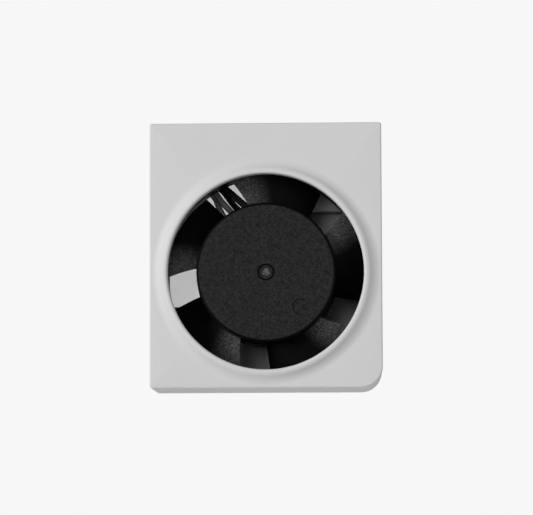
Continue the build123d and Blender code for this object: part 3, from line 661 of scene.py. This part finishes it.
def moulded(name, dark, light, grain_size, rough, specular=0.4):
    """A moulded or coated surface: a fine speckle over slow clouds, with shallow relief."""
    paint = Paint(name)
    speck = paint.grain(grain_size, 3.0, 0.65)
    cloud = paint.grain(grain_size * 15, 3.0, 0.5)
    both = speck * 0.55 + cloud * 0.45
    return paint.shade(base_color=paint.mix(both, dark, light), roughness=rough + 0.15 * both,
                       normal=paint.bump(speck, grain_size * 0.06, 0.5), specular_ior_level=specular)


paint_node("rotor_yoke", drawn_steel("yoke_steel", (0.26, 0.26, 0.27), (0.42, 0.42, 0.43), 0.0006, 0.35))
paint_node("ring_magnet", moulded("ferrite", (0.045, 0.043, 0.042), (0.085, 0.082, 0.08), 0.0003, 0.62))
paint_node("shaft", drawn_steel("ground_steel", (0.50, 0.50, 0.51), (0.68, 0.68, 0.69), 0.0002, 0.16))

# ---- Bearings, spring and clip -------------------------------------------------------
# Two small ball bearings sit in a brass tube at the middle of the frame. Their cages are pressed brass,
# the balls are polished, and a spring and a split clip keep the shaft in place.
race_steel = drawn_steel("race_steel", (0.48, 0.48, 0.49), (0.62, 0.62, 0.63), 0.00025, 0.18)
ball_steel = drawn_steel("ball_steel", (0.66, 0.66, 0.67), (0.76, 0.76, 0.77), 0.0004, 0.06)
cage_brass = drawn_steel("cage_brass", (0.50, 0.36, 0.15), (0.66, 0.50, 0.24), 0.0003, 0.28)
for end in ("front", "rear"):
    paint_node(end + "_bearing_outer_race", race_steel)
    paint_node(end + "_bearing_inner_race", race_steel)
    paint_node(end + "_bearing_balls", ball_steel)
    paint_node(end + "_bearing_cage", cage_brass)
turned_brass = drawn_steel("turned_brass", (0.55, 0.40, 0.18), (0.72, 0.55, 0.28), 0.0004, 0.24)
paint_node("bearing_tube", turned_brass)
spring_steel = drawn_steel("spring_steel", (0.36, 0.36, 0.37), (0.52, 0.52, 0.53), 0.0003, 0.22)
paint_node("preload_spring", spring_steel)
paint_node("retaining_clip", drawn_steel("clip_steel", (0.14, 0.14, 0.15), (0.26, 0.26, 0.27), 0.0004, 0.38))

# ---- Stator core and insulators ------------------------------------------------------
# A stack of stamped steel sheets pressed on to the brass tube, and two nylon bobbins that clip over it
# from the ends. The edges of the sheets show as fine lines across the axis.
core_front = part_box("stator_core")[0].y
sheet_thickness = 0.5 * millimetre


def lamination_finish():
    """Stamped sheet: a dark line between sheets, worked out from the depth along the axis as a cosine of
    its turns, over an oiled grey steel."""
    paint = Paint("lamination_steel")
    turns = ((paint.along(1) - core_front) * (2 * pi / sheet_thickness)).math("COSINE")
    gap = turns.over(0.86, 0.1)
    stain = paint.grain(0.0012, 4.0, 0.6)
    steel = paint.mix(stain, (0.16, 0.16, 0.17), (0.30, 0.30, 0.31))
    return paint.shade(base_color=paint.mix(gap, steel, (0.04, 0.04, 0.045)), metallic=0.9 - 0.6 * gap,
                       roughness=0.35 + 0.3 * stain, normal=paint.bump(gap * -1.0, 0.00005, 0.7))


paint_node("stator_core", lamination_finish())
nylon = moulded("natural_nylon", (0.66, 0.65, 0.60), (0.80, 0.79, 0.74), 0.0004, 0.38)
paint_node("stator_insulator_front", nylon)
paint_node("stator_insulator_rear", nylon)

# ---- Coils ---------------------------------------------------------------------------
# Four coils of enamelled copper wire, machine wound in layers round the bobbins. The turns lie side by
# side, so the coil's surface is a row of half-round ridges.
copper_wire = 0.22 * millimetre


def winding_finish():
    """Enamelled copper: a ridge for each turn, from the absolute sine of the distance outwards from the
    fan axis, with painted shade in the grooves between turns."""
    paint = Paint("copper_enamel")
    x = paint.along(0).math("ABSOLUTE")
    z = (paint.along(2) - axis_height).math("ABSOLUTE")
    ridge = (x.math("MAXIMUM", z) * (pi / copper_wire)).math("SINE").math("ABSOLUTE")
    wander = paint.grain(0.0009, 3.0, 0.6)
    copper = paint.mix(wander, (0.46, 0.16, 0.05), (0.66, 0.27, 0.09))
    # Painted shade: the colour is darker in the grooves between turns.
    return paint.shade(base_color=paint.mix(ridge.over(0.35, 0.3), (0.10, 0.03, 0.012), copper), metallic=0.8,
                       roughness=0.3 + 0.2 * wander, coat_weight=0.4 * ridge,
                       normal=paint.bump(ridge, copper_wire * 0.4, 0.8))


paint_node("coil_windings", winding_finish())

# ---- Board and its components --------------------------------------------------------
# A small green circuit board lies behind the coils. It carries a moulded driver chip, a Hall sensor and
# two smoothing capacitors, all soldered to its front.


def board_finish():
    """Solder mask over copper: tracks are bands where a stretched noise lies near its middle."""
    paint = Paint("board_laminate")
    wander = paint.grain(0.006, 0.0, 0.5, (1.0, 1.0, 2.5))
    track = (1.0 - ((wander - 0.5).math("ABSOLUTE") * 14.0).math("MINIMUM", 1.0)).over(0.6, 0.08)
    weave = paint.grain(0.0005, 3.0, 0.6)
    mask = paint.mix(weave, (0.012, 0.085, 0.030), (0.022, 0.13, 0.050))
    return paint.shade(base_color=paint.mix(track, mask, (0.05, 0.24, 0.10)), roughness=0.28 + 0.15 * weave,
                       coat_weight=0.5 - 0.2 * weave, normal=paint.bump(track, 0.00004, 0.6))


paint_node("motor_board", board_finish())
epoxy = moulded("chip_epoxy", (0.012, 0.012, 0.013), (0.034, 0.034, 0.035), 0.00025, 0.5)
paint_node("driver_chip", epoxy)
paint_node("hall_sensor", epoxy)
can_aluminium = drawn_steel("can_aluminium", (0.58, 0.58, 0.59), (0.74, 0.74, 0.75), 0.0005, 0.2)
paint_node("smoothing_capacitors", can_aluminium)

# ---- Leads ---------------------------------------------------------------------------
# Two dark grey leads and two thinner black ones, in extruded jackets, run from the board beside a strut,
# over the frame and down to the socket. They are laid by hand, so beside the strut they cross.
strut_direction = radians(139.0)
pins_low, pins_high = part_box("socket_pins")
grey_radius = 1.2 * millimetre
black_radius = 0.65 * millimetre
lead_bed = 2.4
lead_start, lead_bend, lead_edge = 18.5, 23.5, 46.0
lead_rise = 5 * millimetre
lead_crown = 15 * millimetre
lead_fall = 8 * millimetre
lead_dip = 4 * millimetre
lead_stand_off = 3 * millimetre
jacket_sides = 16
pin_pitch = 2.54 * millimetre
pin_middle = (pins_low.z + pins_high.z) / 2
lead_end_y = pins_low.y


def beside_strut(offset, along, depth):
    """A point by its distance from the fan axis across the strut's direction, its distance along it and
    its depth, in millimetres: X and Z are the offset and the run turned by the direction."""
    a = strut_direction
    x = offset * sin(a) + along * cos(a)
    z = along * sin(a) - offset * cos(a)
    return x * millimetre, depth * millimetre, axis_height + z * millimetre


def eased(points, cuts=4):
    """A polyline with its corners cut at the quarter points again and again, ends kept: a smooth curve."""
    points = np.asarray(points, float)
    for _ in range(cuts):
        low, high = points[:-1], points[1:]
        pairs = np.stack([0.75 * low + 0.25 * high, 0.25 * low + 0.75 * high], 1).reshape(-1, 3)
        points = np.concatenate([points[:1], pairs[1:-1], points[-1:]])
    return points


def lead_mesh(name, run, corner, crown_z, radius, pin_x):
    """A circle carried along an eased path: beside the strut, round the corner past the frame, over the
    crown and down to its pin. The circle's first direction is square to the path and to the depth, and
    turns towards X where the path drops to the pin and turns back."""
    corner_x, corner_y, corner_z = beside_strut(*corner)
    points = [beside_strut(*place) for place in run]
    points += [(corner_x, corner_y, corner_z),
               (corner_x + 0.2 * lead_rise, corner_y, corner_z + 0.4 * (crown_z - corner_z)),
               (corner_x + lead_rise, corner_y, crown_z - lead_dip / 4),
               (corner_x + lead_rise + lead_crown, corner_y, crown_z),
               (pin_x - lead_fall, corner_y - lead_stand_off / 2, crown_z - lead_dip),
               (pin_x - 0.2 * lead_fall, corner_y - lead_stand_off * 0.9, crown_z - lead_dip * 1.6),
               (pin_x, corner_y - lead_stand_off, pin_middle + 0.8 * millimetre),
               (pin_x, corner_y - lead_stand_off, pin_middle),
               (pin_x, corner_y, pin_middle), (pin_x, lead_end_y, pin_middle)]
    path = eased(points)
    tangent = np.gradient(path, axis=0)
    tangent /= np.linalg.norm(tangent, axis=1)[:, None]
    near = np.clip((path[:, :1] - pin_x + 2.5 * millimetre) / (2 * millimetre), 0, 1)
    guide = near * (1, 0, 0) + (1 - near) * (0, 1, 0)
    side = np.cross(tangent, guide)
    side /= np.linalg.norm(side, axis=1)[:, None]
    up = np.cross(side, tangent)
    turn = np.linspace(0, 2 * pi, jacket_sides, endpoint=False)
    circle = np.cos(turn)[None, :, None] * side[:, None] + np.sin(turn)[None, :, None] * up[:, None]
    rings = path[:, None] + radius * circle
    start, stop = path[:1, None].repeat(jacket_sides, 1), path[-1:, None].repeat(jacket_sides, 1)
    return surface(name, np.concatenate([start, rings, stop]))


first_pin = (pins_low.x + pins_high.x - 3 * pin_pitch) / 2
pin_places = [first_pin + pin_pitch * k for k in range(4)]
grey_far = [(7.4, 26.2, 3.6), (6.5, 27.8, 3.9), (7.4, 30.8, 4.4), (8.7, 33.4, 4.6), (10.3, 36.2, 4.5),
            (10.4, 39.0, 3.8)]
grey_near = [(9.9, 26.4, 3.0), (10.1, 28.5, 2.3), (10.4, 31.5, 1.9), (10.9, 34.5, 2.0), (11.8, 37.2, 2.8),
             (11.6, 40.0, 3.2)]
black_far = [(11.8, 26.3, 2.8), (12.15, 28.6, 2.2), (12.65, 31.5, 1.7), (13.6, 35.0, 1.6), (13.5, 37.6, 2.4),
             (12.5, 40.5, 3.0)]
black_near = [(13.2, 26.5, 3.1), (13.3, 28.5, 3.2), (13.7, 31.3, 3.3), (13.8, 36.0, 3.3)]
grey_runs = [(8.3, grey_far, 56.0, 98.5, pin_places[3]), (10.2, grey_near, 53.6, 96.4, pin_places[2])]
black_runs = [(11.85, black_far, 51.5, 94.65, pin_places[1]), (13.25, black_near, 49.8, 93.05, pin_places[0])]


def lead_piece(name, node, runs, radius, dark, light, rough, gloss):
    """Two leads of one colour as one piece, in a soft shiny jacket."""
    meshes = []
    depth = lead_bed + radius / millimetre
    for offset, wander, corner, crown, pin in runs:
        run = [(offset, lead_start, depth), (offset, lead_bend, depth), *wander, (offset, lead_edge, depth)]
        meshes.append(lead_mesh(name, run, (offset, corner, depth), crown * millimetre, radius, pin))
    jacket = moulded(name + "_jacket", dark, light, 0.0005, rough, gloss)
    thing = piece(name, merged(*meshes), jacket, "housing", 60)
    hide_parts(node)


lead_piece("grey_leads", "lead_grey", grey_runs, grey_radius,
           (0.21, 0.21, 0.213), (0.29, 0.29, 0.293), 0.36, 0.5)
lead_piece("black_leads", "lead_black", black_runs, black_radius,
           (0.0015, 0.0015, 0.0015), (0.004, 0.004, 0.004), 0.4, 0.15)

# ---- Power socket --------------------------------------------------------------------
# The white four-way socket stands in its pocket in the rear cover. Its square pins are tinned brass.
paint_node("power_socket", moulded("socket_nylon", (0.70, 0.69, 0.65), (0.82, 0.81, 0.77), 0.0004, 0.32))
paint_node("socket_pins", drawn_steel("tinned_brass", (0.58, 0.56, 0.50), (0.76, 0.74, 0.68), 0.0003, 0.2))

# ---- Screws and inserts --------------------------------------------------------------
# Four zinc-plated screws hold the covers and the fan together. Two brass inserts for the mounting screws
# are pressed into the back, and each has a knurled outside.
paint_node("cover_screws", drawn_steel("zinc_plate", (0.40, 0.41, 0.43), (0.60, 0.60, 0.60), 0.0005, 0.26))
paint_node("mounting_inserts", turned_brass)

# ---- Label ---------------------------------------------------------------------------
# A blank round label of silver-grey film is stuck in the recess behind the motor.
paint_node("motor_label", moulded("label_film", (0.50, 0.51, 0.52), (0.62, 0.63, 0.64), 0.0003, 0.3))
